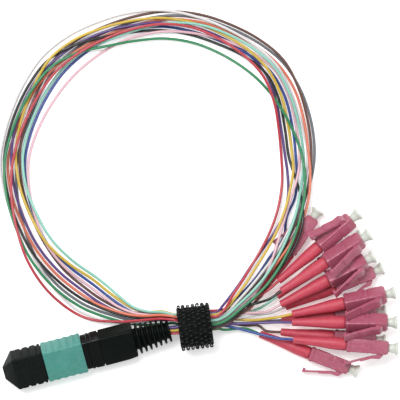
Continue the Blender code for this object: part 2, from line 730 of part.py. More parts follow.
def obstacles():
    """Balls (middle in plan, radius, fibre that may touch it) along the boots and housings."""
    balls = []
    for row in CONNECTORS:
        frame = connector_frame(row)
        for back in range(32):
            boot_share = (back - HOUSING_LENGTH) / BOOT_LENGTH
            radius = HOUSING_WIDTH * 0.66
            if boot_share > 0:
                radius = (BOOT_WIDE + (BOOT_NARROW - BOOT_WIDE) * min(boot_share, 1.0)) / 2
            balls.append((to_plan(frame, 0.0, 0.0, -back), radius, row[1]))
        for back in (-3.0, -2.0, -1.0):
            balls.append((to_plan(frame, 0.0, 0.0, -back), CAP_FLANGE / 2, row[1]))
        if not row[7]:
            root = HOUSING_WIDTH / 2 + LATCH_ROOT_HEIGHT / 2
            for along in (-0.25, 0.0, 0.2, 0.4, 0.6, 0.8, 1.0):
                back = LATCH_ROOT_END + along * (LATCH_END - LATCH_ROOT_END)
                reach = root + max(along, 0.0) * LATCH_LIFT
                for side in (-1.0, 0.0, 1.0):
                    balls.append((to_plan(frame, side, reach, -back), 0.8, row[1]))
    frame = plug_frame()
    for near in range(-1, 24):
        share = min(max(near / BOOT_RIB_LENGTH, 0.0), 1.0)
        radius = (BOOT_RIB_END[1] + (BOOT_RIB_START[1] - BOOT_RIB_END[1]) * share) / 2 + CLEARANCE
        spread = (BOOT_RIB_END[0] + (BOOT_RIB_START[0] - BOOT_RIB_END[0]) * share) / 2 - radius + CLEARANCE * 0.7
        for side in (-1, 0, 1):
            balls.append((to_plan(frame, side * spread, 0.0, near + 1.2), radius, None))
    return balls


def nearest_shares(start_a, end_a, start_b, end_b):
    """Where two rows of segments come nearest to each other, as shares of their lengths."""
    along_a = end_a - start_a
    along_b = end_b - start_b
    between = start_a - start_b
    aa = np.einsum("ij,ij->i", along_a, along_a)
    bb = np.einsum("ij,ij->i", along_b, along_b)
    ab = np.einsum("ij,ij->i", along_a, along_b)
    ar = np.einsum("ij,ij->i", along_a, between)
    br = np.einsum("ij,ij->i", along_b, between)
    flat = np.maximum(aa * bb - ab * ab, 1e-6)
    share_a = np.clip((ab * br - ar * bb) / flat, 0.0, 1.0)
    share_b = np.clip((ab * share_a + br) / bb, 0.0, 1.0)
    share_a = np.clip((ab * share_b - ar) / aa, 0.0, 1.0)
    return share_a, share_b


def settled(lines, held):
    """Let the fibres fall to the floor and push each other and the connectors' balls apart."""
    place = np.stack(lines)
    start_place = place.copy()
    fibres, count = place.shape[:2]
    segments = np.array([f * count + i for f in range(fibres) for i in range(count - 1)])
    fibre_of = segments // count
    colours = list(STACKING)
    balls = obstacles()
    middles = np.array([ball[0] for ball in balls])
    radii = np.array([ball[1] for ball in balls]) + FIBRE_DIAMETER / 2 + CLEARANCE * 0.8
    owners = np.array([colours.index(ball[2]) if ball[2] else -1 for ball in balls])
    floor = FIBRE_DIAMETER / 2 + 0.03
    bore_middle = np.array(to_plan(strap_frame(), STRAP_BORE_SHIFT, -STRAP_BORE_DROP, 0.0))
    bore_axis = np.array(strap_frame().to_3x3().col[2])
    bore_reach = np.full(THROUGH_STRAP[1] - THROUGH_STRAP[0], STRAP_BORE / 2 - FIBRE_DIAMETER / 2)
    bore_reach[1:-1] -= CLEARANCE / 2
    bore_reach[0] += CLEARANCE
    for turn in range(SETTLE_ROUNDS):
        flat = place.reshape(-1, 3)
        if turn % SETTLE_RENEW == 0:
            centre = (flat[segments] + flat[segments + 1]) / 2
            half = np.linalg.norm(flat[segments + 1] - flat[segments], axis=1) / 2
            away = np.linalg.norm(centre[:, None] - centre[None], axis=2)
            reach = half[:, None] + half[None] + 2 * FIBRE_SETTLE_PITCH
            close = np.triu((away < reach) & (fibre_of[:, None] != fibre_of[None]))
            first, second = np.nonzero(close)
            first, second = segments[first], segments[second]
            away = np.linalg.norm(middles[:, None] - centre[None], axis=2)
            own = (owners[:, None] == fibre_of[None]) & (segments % count > count - OWN_SEGMENTS)[None]
            near = (away < radii[:, None] + half[None] + 1.0) & ~own
            ball, touched = np.nonzero(near)
            touched = segments[touched]
        push = np.zeros_like(flat)
        weight = np.zeros(len(flat))

        def add(at, share, shift):
            for point, part in ((at, 1.0 - share), (at + 1, share)):
                np.add.at(push, point, shift * part[:, None])
                np.add.at(weight, point, (np.abs(shift).sum(axis=1) > 0) * part)

        one, two = nearest_shares(flat[first], flat[first + 1], flat[second], flat[second + 1])
        place_one = flat[first] + (flat[first + 1] - flat[first]) * one[:, None]
        place_two = flat[second] + (flat[second + 1] - flat[second]) * two[:, None]
        apart = place_one - place_two
        gap = np.maximum(np.linalg.norm(apart, axis=1), 1e-6)
        crossed = gap < 0.5 * FIBRE_DIAMETER
        apart[crossed, 2] += np.where(first < second, -0.3, 0.3)[crossed]
        shift = apart * (np.maximum(FIBRE_SETTLE_PITCH - gap, 0.0) / gap * 0.5)[:, None]
        add(first, one, shift)
        add(second, two, -shift)
        along = flat[touched + 1] - flat[touched]
        share = np.einsum("ij,ij->i", middles[ball] - flat[touched], along)
        share = np.clip(share / np.einsum("ij,ij->i", along, along), 0.0, 1.0)
        apart = flat[touched] + along * share[:, None] - middles[ball]
        gap = np.maximum(np.linalg.norm(apart, axis=1), 1e-6)
        add(touched, share, apart * (np.maximum(radii[ball] - gap, 0.0) / gap)[:, None])
        push /= np.maximum(weight, 1.0)[:, None] * 0.62
        falling = turn < 0.7 * SETTLE_ROUNDS
        push = np.clip(push, -0.4, 0.4).reshape(place.shape)
        if falling:
            push[:, :THROUGH_STRAP[0], 2] -= SETTLE_FALL
            push[:, THROUGH_STRAP[1]:, 2] -= SETTLE_FALL
        place = place + push
        shift = place - start_place
        even = (shift[:, :-2] + shift[:, 2:]) / 2 - shift[:, 1:-1]
        smooth = SETTLE_SMOOTH if falling else SETTLE_SMOOTH * 0.25
        if turn > 0.9 * SETTLE_ROUNDS:
            smooth = 0.0
        place[:, 1:-1] += smooth * even
        inside = place[:, slice(*THROUGH_STRAP)]
        inside -= ((inside - start_place[:, slice(*THROUGH_STRAP)]) @ bore_axis)[..., None] * bore_axis
        off = inside - bore_middle
        off -= (off @ bore_axis)[..., None] * bore_axis
        far = np.maximum(np.linalg.norm(off, axis=2), 1e-6)
        inside -= off * (np.maximum(far - bore_reach, 0.0) / far)[..., None]
        place[:, held] = start_place[:, held]
        place[..., 2] = np.maximum(place[..., 2], floor)
    return place


def fibre_lines():
    """The settled route of each fibre in plan millimetres."""
    guides = fibre_guides()
    lines = [smooth_through(guides[colour], GUIDE_STEPS) for colour in STACKING]
    held = np.zeros(len(lines[0]), bool)
    held[:HELD_START] = True
    held[-2:] = True
    return dict(zip(STACKING, settled(lines, held)))


def make_fibres():
    """Twelve fibres as thin tubes."""
    for colour, line in fibre_lines().items():
        curve = bpy.data.curves.new("fibre_" + colour, "CURVE")
        curve.dimensions = "3D"
        curve.bevel_depth = FIBRE_DIAMETER / 2 * MM
        curve.bevel_resolution = 2
        curve.use_fill_caps = True
        spline = curve.splines.new("POLY")
        spline.points.add(len(line) - 1)
        for point, (x, y, z) in zip(spline.points, line):
            point.co = (*plan(x, y, z), 1.0)
        obj = bpy.data.objects.new("fibre_" + colour, curve)
        curve.materials.append(material("fibre_" + colour, FIBRE_COLOURS[colour], 0.35))
        PARTS.objects.link(obj)


drop_objects()
PARTS = collection("fibre_optic_cable")
CUTTERS = collection("cutters")
make_connectors()
make_plug()
make_strap()
make_fibres()
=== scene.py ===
"""Looks of a fibre optic fan-out cable.

One flat multi-fibre plug, twelve thin coloured fibres in a loop held by a hook-and-loop strap,
and twelve small connectors with boots, latches and dust caps. Sizes inside the classes are
millimetres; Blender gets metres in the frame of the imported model.
"""

from __future__ import annotations

import json
import logging
import math
from collections.abc import Callable, Sequence
from dataclasses import dataclass, field
from enum import Enum

import bmesh
import bpy
import numpy as np
from mathutils import Matrix, Vector

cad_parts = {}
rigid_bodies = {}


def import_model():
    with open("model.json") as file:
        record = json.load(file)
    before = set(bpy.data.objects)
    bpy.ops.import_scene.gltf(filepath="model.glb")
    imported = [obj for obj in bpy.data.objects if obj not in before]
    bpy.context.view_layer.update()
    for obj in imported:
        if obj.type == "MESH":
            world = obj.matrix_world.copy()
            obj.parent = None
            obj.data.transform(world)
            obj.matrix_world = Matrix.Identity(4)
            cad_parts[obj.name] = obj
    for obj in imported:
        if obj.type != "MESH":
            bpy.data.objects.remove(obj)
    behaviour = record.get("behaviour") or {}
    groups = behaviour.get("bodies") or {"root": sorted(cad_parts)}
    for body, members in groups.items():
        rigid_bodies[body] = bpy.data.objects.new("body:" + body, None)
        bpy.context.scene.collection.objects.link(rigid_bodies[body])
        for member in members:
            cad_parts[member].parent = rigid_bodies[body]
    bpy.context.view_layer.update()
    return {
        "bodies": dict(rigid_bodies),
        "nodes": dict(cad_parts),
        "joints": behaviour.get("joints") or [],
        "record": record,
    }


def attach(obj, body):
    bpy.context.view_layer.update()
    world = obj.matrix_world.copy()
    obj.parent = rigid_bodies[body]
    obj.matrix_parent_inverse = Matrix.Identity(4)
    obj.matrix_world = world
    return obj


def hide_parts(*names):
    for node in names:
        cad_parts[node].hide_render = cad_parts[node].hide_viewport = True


LOG = logging.getLogger("fibre_cable")
MM = 0.001
PLAN_ORIGIN = (0.161, -32.188)
Point = tuple[float, float, float]
Colour = tuple[float, float, float]
Socket = bpy.types.NodeSocket


# Finishes


COAT_ROUGHNESS = 0.18
SOFT_RADIUS = (1.0, 0.9, 0.8)
SOFT_DEPTH = 0.0012
CLOUD_SCALE = 160.0
CLOUD_DETAIL = 3.0
GRAIN_DETAIL = 2.0
GLOSS_SWING = 0.22
SPECK_SCALE = 900.0
SPECK_DETAIL = 6.0
SPECK_START = 0.42
SPECK_GAIN = 4.0
DUST_COLOUR = (0.78, 0.76, 0.74, 1.0)
WHITE = (1.0, 1.0, 1.0, 1.0)
MIX_FIRST, MIX_SECOND, MIX_RESULT = 6, 7, 2  # the colour sockets of a Mix node


class Grain(Enum):
    """Named surface textures as (scale in cells a metre, bump height in metres)."""

    FINE = (5200.0, 0.000012)
    SATIN = (2600.0, 0.00002)
    RUBBER = (3600.0, 0.00003)
    SMOOTH = (1400.0, 0.000006)
    WOVEN = (2400.0, 0.00006)


@dataclass(frozen=True)
class Finish:
    """One moulded or extruded surface."""

    name: str
    colour: Colour
    roughness: float
    grain: Grain = Grain.SATIN
    variation: float = 0.08
    dust: float = 0.05
    coat: float = 0.0
    soft: float = 0.0
    specular: float = 0.5

    def build(self) -> bpy.types.Material:
        """Make the material, with the shared moulded-surface and dust groups in it.

        Returns:
            The material.
        """
        made = bpy.data.materials.new(self.name)
        made.use_nodes = True
        tree = made.node_tree
        shader = tree.nodes["Principled BSDF"]
        shader.inputs["Coat Weight"].default_value = self.coat
        shader.inputs["Coat Roughness"].default_value = COAT_ROUGHNESS
        shader.inputs["Specular IOR Level"].default_value = self.specular
        if self.soft > 0.0:
            shader.inputs["Subsurface Weight"].default_value = self.soft
            shader.inputs["Subsurface Radius"].default_value = SOFT_RADIUS
            shader.inputs["Subsurface Scale"].default_value = SOFT_DEPTH
        skin = tree.nodes.new("ShaderNodeGroup")
        skin.node_tree = moulded_group()
        skin.inputs["Colour"].default_value = (*self.colour, 1.0)
        skin.inputs["Variation"].default_value = self.variation
        skin.inputs["Grain Scale"].default_value = self.grain.value[0]
        skin.inputs["Grain Height"].default_value = self.grain.value[1]
        skin.inputs["Roughness"].default_value = self.roughness
        film = tree.nodes.new("ShaderNodeGroup")
        film.node_tree = dust_group()
        film.inputs["Amount"].default_value = self.dust
        tree.links.new(skin.outputs["Colour"], film.inputs["Colour"])
        tree.links.new(film.outputs["Colour"], shader.inputs["Base Color"])
        tree.links.new(skin.outputs["Roughness"], shader.inputs["Roughness"])
        tree.links.new(skin.outputs["Normal"], shader.inputs["Normal"])
        return made


def new_group(name: str, inputs: dict[str, object], outputs: dict[str, str]) -> bpy.types.NodeTree:
    """Start a shader node group with named sockets.

    Args:
        name: The group's name.
        inputs: Socket name to its default: a colour, or a number.
        outputs: Socket name to its socket type.

    Returns:
        The group, with its input and output nodes placed.
    """
    group = bpy.data.node_groups.new(name, "ShaderNodeTree")
    for label, value in inputs.items():
        kind = "NodeSocketColor" if isinstance(value, tuple) else "NodeSocketFloat"
        group.interface.new_socket(label, in_out="INPUT", socket_type=kind).default_value = value
    for label, kind in outputs.items():
        group.interface.new_socket(label, in_out="OUTPUT", socket_type=kind)
    group.nodes.new("NodeGroupInput").name = "Entry"
    group.nodes.new("NodeGroupOutput").name = "Exit"
    return group


def maths(tree: bpy.types.NodeTree, operation: str, *values: Socket | float) -> Socket:
    """Add a Math node.

    Args:
        tree: The node tree.
        operation: Blender's name of the operation.
        values: Sockets or numbers for its inputs.

    Returns:
        The node's result.
    """
    node = tree.nodes.new("ShaderNodeMath")
    node.operation = operation
    for place, value in zip(node.inputs, values):
        if isinstance(value, (int, float)):
            place.default_value = value
        else:
            tree.links.new(value, place)
    return node.outputs[0]


def moulded_group() -> bpy.types.NodeTree:
    """Give the shared group for moulded surfaces: cloudy colour, uneven gloss and fine grain."""
    found = bpy.data.node_groups.get("moulded_surface")
    if found:
        return found
    group = new_group(
        "moulded_surface",
        {
            "Colour": (0.5, 0.5, 0.5, 1.0), "Variation": 0.1, "Grain Scale": 2000.0,
            "Grain Height": 0.00002, "Roughness": 0.4,
        },
        {"Colour": "NodeSocketColor", "Roughness": "NodeSocketFloat", "Normal": "NodeSocketVector"},
    )
    entry, leave = group.nodes["Entry"], group.nodes["Exit"]
    place = group.nodes.new("ShaderNodeTexCoord")
    cloud = group.nodes.new("ShaderNodeTexNoise")
    cloud.inputs["Scale"].default_value = CLOUD_SCALE
    cloud.inputs["Detail"].default_value = CLOUD_DETAIL
    grain = group.nodes.new("ShaderNodeTexNoise")
    grain.inputs["Detail"].default_value = GRAIN_DETAIL
    group.links.new(place.outputs["Object"], cloud.inputs["Vector"])
    group.links.new(place.outputs["Object"], grain.inputs["Vector"])
    group.links.new(entry.outputs["Grain Scale"], grain.inputs["Scale"])
    spread = maths(group, "SUBTRACT", cloud.outputs["Fac"], 0.5)
    swing = maths(group, "MULTIPLY", spread, entry.outputs["Variation"])
    value = maths(group, "MULTIPLY_ADD", swing, 2.0, 1.0)
    tint = group.nodes.new("ShaderNodeHueSaturation")
    group.links.new(entry.outputs["Colour"], tint.inputs["Color"])
    group.links.new(value, tint.inputs["Value"])
    group.links.new(tint.outputs["Color"], leave.inputs["Colour"])
    rough = maths(group, "MULTIPLY_ADD", spread, GLOSS_SWING, entry.outputs["Roughness"])
    group.links.new(rough, leave.inputs["Roughness"])
    bump = group.nodes.new("ShaderNodeBump")
    bump.inputs["Strength"].default_value = 1.0
    group.links.new(entry.outputs["Grain Height"], bump.inputs["Distance"])
    group.links.new(grain.outputs["Fac"], bump.inputs["Height"])
    group.links.new(bump.outputs["Normal"], leave.inputs["Normal"])
    return group


def dust_group() -> bpy.types.NodeTree:
    """Give the shared group that lays a thin pale dust on what faces up."""
    found = bpy.data.node_groups.get("dust_film")
    if found:
        return found
    group = new_group(
        "dust_film",
        {"Colour": (0.5, 0.5, 0.5, 1.0), "Amount": 0.05},
        {"Colour": "NodeSocketColor"},
    )
    entry, leave = group.nodes["Entry"], group.nodes["Exit"]
    place = group.nodes.new("ShaderNodeTexCoord")
    specks = group.nodes.new("ShaderNodeTexNoise")
    specks.inputs["Scale"].default_value = SPECK_SCALE
    specks.inputs["Detail"].default_value = SPECK_DETAIL
    group.links.new(place.outputs["Object"], specks.inputs["Vector"])
    shape = group.nodes.new("ShaderNodeNewGeometry")
    split = group.nodes.new("ShaderNodeSeparateXYZ")
    group.links.new(shape.outputs["Normal"], split.inputs["Vector"])
    upward = maths(group, "MAXIMUM", split.outputs["Z"], 0.0)
    thin = maths(group, "SUBTRACT", specks.outputs["Fac"], SPECK_START)
    mask = maths(group, "MULTIPLY", maths(group, "MAXIMUM", thin, 0.0), upward)
    amount = maths(group, "MULTIPLY", maths(group, "MULTIPLY", mask, SPECK_GAIN), entry.outputs["Amount"])
    blend = group.nodes.new("ShaderNodeMix")
    blend.data_type = "RGBA"
    group.links.new(maths(group, "MINIMUM", amount, 1.0), blend.inputs["Factor"])
    group.links.new(entry.outputs["Colour"], blend.inputs[MIX_FIRST])
    blend.inputs[MIX_SECOND].default_value = DUST_COLOUR
    group.links.new(blend.outputs[MIX_RESULT], leave.inputs["Colour"])
    return group


class Palette(Enum):
    """Every finish of the cable but the fibres' own."""

    HOUSING = Finish("housing_magenta_moulded", (0.385, 0.083, 0.138), 0.30, variation=0.14, coat=0.25)
    BOOT = Finish(
        "boot_pink_red_soft", (0.52, 0.050, 0.086), 0.52, Grain.RUBBER, variation=0.12, dust=0.03, soft=0.08,
    )
    CAP = Finish("cap_milky_moulded", (0.63, 0.67, 0.60), 0.38, Grain.SMOOTH, dust=0.0, coat=0.1, soft=0.1)
    FERRULE = Finish("ferrule_grey_moulded", (0.09, 0.09, 0.10), 0.4, Grain.FINE, variation=0.1, dust=0.0)
    CERAMIC = Finish(
        "ferrule_white", (0.85, 0.84, 0.80), 0.2, Grain.SMOOTH, variation=0.02, dust=0.0, coat=0.4,
    )
    PLUG_BLACK = Finish(
        "plug_black_satin", (0.002, 0.003, 0.003), 0.26, Grain.FINE,
        variation=0.2, dust=0.001, coat=0.35, specular=0.05,
    )
    CAP_BLACK = Finish(
        "plug_cap_black", (0.005, 0.008, 0.007), 0.50, variation=0.4, dust=0.003, specular=0.10,
    )
    PLUG_BOOT = Finish(
        "plug_boot_rubber", (0.002, 0.004, 0.003), 0.5, Grain.RUBBER,
        variation=0.3, dust=0.002, specular=0.10,
    )
    SLEEVE = Finish("sleeve_aqua_moulded", (0.060, 0.275, 0.232), 0.42, variation=0.12, dust=0.04)
    TAPE = Finish(
        "strap_tape_woven", (0.003, 0.004, 0.004), 0.85, Grain.WOVEN,
        variation=0.4, dust=0.01, specular=0.12,
    )
    HOOKS = Finish(
        "strap_hooks_nylon", (0.005, 0.007, 0.007), 0.34, Grain.SMOOTH,
        variation=0.3, dust=0.0, specular=0.4,
    )

    def material(self) -> bpy.types.Material:
        """Give this finish's material, made once."""
        return bpy.data.materials.get(self.value.name) or self.value.build()


class Fibre(Enum):
    """The twelve fibres' colours."""

    BLUE = (0.022, 0.060, 0.27)
    ORANGE = (0.66, 0.17, 0.095)
    GREEN = (0.018, 0.22, 0.085)
    BROWN = (0.11, 0.045, 0.034)
    SLATE = (0.13, 0.14, 0.16)
    WHITE = (0.70, 0.68, 0.69)
    RED = (0.46, 0.035, 0.055)
    BLACK = (0.010, 0.013, 0.013)
    YELLOW = (0.60, 0.41, 0.045)
    VIOLET = (0.095, 0.05, 0.21)
    ROSE = (0.70, 0.44, 0.50)
    AQUA = (0.25, 0.56, 0.46)

    @property
    def node(self) -> str:
        """The CAD node of this fibre."""
        return "fibre_" + self.name.lower()

    def material(self) -> bpy.types.Material:
        """Make this fibre's glossy buffer material."""
        return Finish(
            self.node + "_buffer", self.value, 0.34, Grain.SMOOTH,
            variation=0.10, dust=0.0, coat=0.15, soft=0.05,
        ).build()


# Shared ways of making meshes


def axis_frame(point: Sequence[float], heading: float, pitch: float, roll: float) -> Matrix:
    """Give a frame whose +Z runs along a heading and whose +Y is straight up, then rolled.

    Args:
        point: Its origin in metres.
        heading: Degrees from +X in plan.
        pitch: Degrees upward.
        roll: Degrees from straight up towards the right of the heading.

    Returns:
        The frame.
    """
    flat = math.cos(math.radians(pitch))
    forward = Vector((
        math.cos(math.radians(heading)) * flat,
        math.sin(math.radians(heading)) * flat,
        math.sin(math.radians(pitch)),
    ))
    right = forward.cross(Vector((0.0, 0.0, 1.0))).normalized()
    up = right.cross(forward)
    turn = math.radians(roll)
    side_y = up * math.cos(turn) + right * math.sin(turn)
    side_x = side_y.cross(forward)
    return Matrix.Translation(point) @ Matrix((side_x, side_y, forward)).transposed().to_4x4()


def plan(x: float, y: float, z: float) -> Vector:
    """Give a point of the plan, in millimetres, as metres in the model's frame."""
    return Vector((x - PLAN_ORIGIN[0], y - PLAN_ORIGIN[1], z)) * MM


def rounded_ring(width: float, height: float, corner: float, z: float, steps: int = 5) -> list[Point]:
    """Give a rounded rectangle round the axis.

    Args:
        width: Size along local X.
        height: Size along local Y.
        corner: Corner radius.
        z: Place along the axis.
        steps: Steps in a quarter turn.

    Returns:
        The ring's points.
    """
    corner = min(corner, width / 2 - 0.01, height / 2 - 0.01)
    ring = []
    for quarter, (sx, sy) in enumerate(((1, 1), (-1, 1), (-1, -1), (1, -1))):
        for step in range(steps + 1):
            turn = math.radians(90 * quarter + 90 * step / steps)
            ring.append((
                sx * (width / 2 - corner) + corner * math.cos(turn),
                sy * (height / 2 - corner) + corner * math.sin(turn),
                z,
            ))
    return ring


def loft(shape: bmesh.types.BMesh, rings: Sequence[Sequence[Point]], closed_ends: bool = True) -> None:
    """Skin rings of equal counts.

    Args:
        shape: The mesh being edited.
        rings: The rings, in order.
        closed_ends: Cap both ends, or join the last ring to the first.
    """
    rows = [[shape.verts.new(point) for point in ring] for ring in rings]
    pairs = list(zip(rows, rows[1:]))
    if not closed_ends:
        pairs.append((rows[-1], rows[0]))
    for below, above in pairs:
        for i in range(len(below)):
            j = (i + 1) % len(below)
            shape.faces.new((below[i], below[j], above[j], above[i]))
    if closed_ends:
        shape.faces.new(rows[0])
        shape.faces.new(rows[-1])


def stack(shape: bmesh.types.BMesh, rows: Sequence[Sequence[float]], closed_ends: bool = True) -> None:
    """Skin rounded rectangles.

    Args:
        shape: The mesh being edited.
        rows: Their widths, heights, corner radii and places along the axis.
        closed_ends: Cap both ends, or join the last to the first.
    """
    loft(shape, [rounded_ring(*row) for row in rows], closed_ends)


def extrude_outline(shape: bmesh.types.BMesh, outline: Sequence[tuple[float, float]], width: float) -> None:
    """Add a flat outline in the Y-Z plane, thickened along X.

    Args:
        shape: The mesh being edited.
        outline: Points as (y, z).
        width: Thickness, centred on the axis.
    """
    sides = []
    for side in (-0.5, 0.5):
        sides.append([shape.verts.new((side * width, y, z)) for y, z in outline])
        shape.faces.new(sides[-1])
    for i in range(len(outline)):
        j = (i + 1) % len(outline)
        shape.faces.new((sides[0][i], sides[0][j], sides[1][j], sides[1][i]))


def add_box(shape: bmesh.types.BMesh, low: Point, high: Point) -> None:
    """Add a box between two corners."""
    size = [b - a for a, b in zip(low, high)]
    middle = [(a + b) / 2 for a, b in zip(low, high)]
    bmesh.ops.create_cube(
        shape, size=1.0, matrix=Matrix.Translation(middle) @ Matrix.Diagonal((*size, 1.0)),
    )


def lathe(shape: bmesh.types.BMesh, profile: Sequence[tuple[float, float]], steps: int) -> None:
    """Add a turned solid round the axis.

    Args:
        shape: The mesh being edited.
        profile: Points as (radius, z); both end radii are zero.
        steps: Steps in the turn.
    """
    rows: list[list[bmesh.types.BMVert]] = []
    for radius, z in profile:
        count = steps if radius > 0 else 1
        rows.append([
            shape.verts.new((
                radius * math.cos(2 * math.pi * i / steps), radius * math.sin(2 * math.pi * i / steps), z,
            ))
            for i in range(count)
        ])
    for below, above in zip(rows, rows[1:]):
        for i in range(steps):
            j = (i + 1) % steps
            around = [
                below[i % len(below)], below[j % len(below)],
                above[j % len(above)], above[i % len(above)],
            ]
            shape.faces.new(list(dict.fromkeys(around)))


@dataclass
class Piece:
    """One visible piece: a mesh in millimetres round its own axis."""

    name: str
    build: Callable[[bmesh.types.BMesh], None]
    finish: Palette
    bevel: float = 0.0
    bevel_steps: int = 2
    bevel_angle: float = 40.0
    sharp_angle: float = 35.0

    def mesh(self) -> bpy.types.Mesh:
        """Build the mesh in metres, with its finish.

        Returns:
            The mesh.
        """
        shape = bmesh.new()
        self.build(shape)
        bmesh.ops.recalc_face_normals(shape, faces=shape.faces)
        bmesh.ops.scale(shape, vec=(MM, MM, MM), verts=shape.verts)
        mesh = bpy.data.meshes.new(self.name)
        shape.to_mesh(mesh)
        shape.free()
        mesh.shade_smooth()
        mesh.set_sharp_from_angle(angle=math.radians(self.sharp_angle))
        mesh.materials.append(self.finish.material())
        return mesh

    def put(
        self, name: str, mesh: bpy.types.Mesh, frame: Matrix, body: str, nodes: Sequence[str], slot: str,
    ) -> None:
        """Place the piece, tie it to its body and let it stand for its CAD nodes.

        Args:
            name: The object's name.
            mesh: The mesh from this piece.
            frame: Its place.
            body: The CAD body it rides on.
            nodes: CAD nodes that it replaces.
            slot: The record's material slot; not used.
        """
        obj = bpy.data.objects.new(name, mesh)
        bpy.context.scene.collection.objects.link(obj)
        obj.matrix_world = frame
        if self.bevel > 0.0:
            soften = obj.modifiers.new("Soft edges", "BEVEL")
            soften.width = self.bevel * MM
            soften.segments = self.bevel_steps
            soften.limit_method = "ANGLE"
            soften.angle_limit = math.radians(self.bevel_angle)
        bpy.context.view_layer.update()
        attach(obj, body)
        if nodes:
            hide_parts(*nodes)
        LOG.info("%s rides on %s", name, body)


# The small connectors


@dataclass(frozen=True)
class Seat:
    """Where one small connector lies: its row from the part's source."""

    letter: str
    fibre: Fibre
    front: tuple[float, float]
    heading: float
    high: float
    low: float
    roll: float
    pressed: bool = False


SEATS = (
    Seat("A", Fibre.ORANGE, (37.2, -5.9), 55.0, 2.47, 2.47, -90.0),
    Seat("B", Fibre.RED, (49.7, -6.3), 40.2, 7.9, 6.5, -50.0),
    Seat("C", Fibre.BLACK, (53.0, -12.8), 32.9, 9.9, 8.5, 45.0),
    Seat("D", Fibre.ROSE, (54.3, -19.8), 27.4, 7.5, 6.6, 61.6),
    Seat("E", Fibre.WHITE, (57.2, -23.5), 21.8, 2.47, 2.47, 90.0),
    Seat("F", Fibre.YELLOW, (60.9, -30.9), 12.0, 8.0, 6.5, 44.5),
    Seat("G", Fibre.VIOLET, (61.5, -40.1), 0.0, 8.8, 6.8, 53.7),
    Seat("H", Fibre.BLUE, (61.8, -48.5), -5.0, 8.2, 6.7, 92.0),
    Seat("I", Fibre.GREEN, (49.0, -55.3), -21.0, 2.47, 2.47, 90.0),
    Seat("J", Fibre.AQUA, (50.7, -13.2), 36.0, 2.47, 2.47, 90.0, True),
    Seat("K", Fibre.SLATE, (58.0, -36.6), 5.2, 2.47, 2.47, 90.0, True),
    Seat("L", Fibre.BROWN, (57.8, -46.1), -5.0, 2.47, 2.47, 90.0, True),
)


